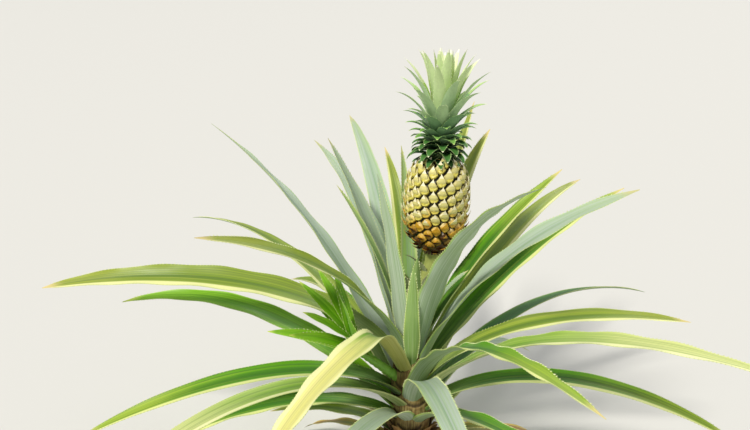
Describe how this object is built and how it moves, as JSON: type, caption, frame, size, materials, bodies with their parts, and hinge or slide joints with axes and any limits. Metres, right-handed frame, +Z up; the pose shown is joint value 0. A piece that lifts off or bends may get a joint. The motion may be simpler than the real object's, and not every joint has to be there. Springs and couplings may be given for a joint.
{
  "type": "pineapple plant",
  "caption": "Pineapple plant in fruit: a rosette of long spiny channelled leaves on a short stem, with one crowned fruit on a stalk and a young side shoot.",
  "frame": {"origin": "on the stem's axis, at the flat cut at ground level", "axes": "+Z up along the stem; +Y away from the picture's camera; +X to the picture's right"},
  "size_m": [1.2279, 1.2827, 0.7919],
  "materials": {
    "stem": "matt fibrous stem with the scars of old leaves",
    "old_leaf": "yellowing and drying leaf, matt",
    "leaf": "waxy green leaf with yellow margins and a grey bloom",
    "young_leaf": "fresh green leaf, slightly glossy",
    "stalk": "fleshy green stalk, satin",
    "fruit_skin": "tough waxy rind of raised eyes, satin",
    "crown_leaf": "stiff grey-green leaf with a silvery bloom"
  },
  "bodies": {
    "root": {"stem": "stem", "basal_leaves": "old_leaf", "leaf_01": "leaf", "leaf_02": "leaf", "leaf_02_tip": "leaf", "leaf_03": "leaf", "leaf_03_tip": "leaf", "leaf_04": "leaf", "leaf_04_tip": "leaf", "leaf_05": "leaf", "leaf_05_tip": "leaf", "leaf_06": "leaf", "leaf_06_tip": "leaf", "leaf_07": "leaf", "leaf_08": "leaf", "leaf_08_tip": "leaf", "leaf_09": "leaf", "leaf_09_tip": "leaf", "leaf_10": "leaf", "leaf_10_tip": "leaf", "leaf_11": "leaf", "leaf_12": "leaf", "leaf_12_tip": "leaf", "leaf_13": "leaf", "leaf_13_tip": "leaf", "leaf_14": "leaf", "leaf_15": "leaf", "leaf_15_tip": "leaf", "leaf_16": "leaf", "leaf_16_tip": "leaf", "leaf_17": "leaf", "leaf_17_tip": "leaf", "leaf_18": "leaf", "leaf_18_tip": "leaf", "leaf_19": "leaf", "leaf_20": "leaf", "leaf_21": "leaf", "leaf_21_tip": "leaf", "leaf_22": "leaf", "leaf_23": "leaf", "leaf_24": "leaf", "leaf_25": "leaf", "leaf_26": "leaf", "leaf_27": "leaf", "leaf_28": "leaf", "leaf_28_tip": "leaf", "leaf_29": "leaf", "leaf_30": "leaf", "leaf_31": "leaf", "leaf_32": "leaf", "leaf_33": "leaf", "leaf_34": "leaf", "leaf_35": "leaf", "leaf_36": "leaf", "leaf_37": "leaf", "leaf_38": "leaf", "side_shoot": "young_leaf", "stalk": "stalk", "fruit": "fruit_skin", "crown": "crown_leaf"}
  },
  "joints": []
}
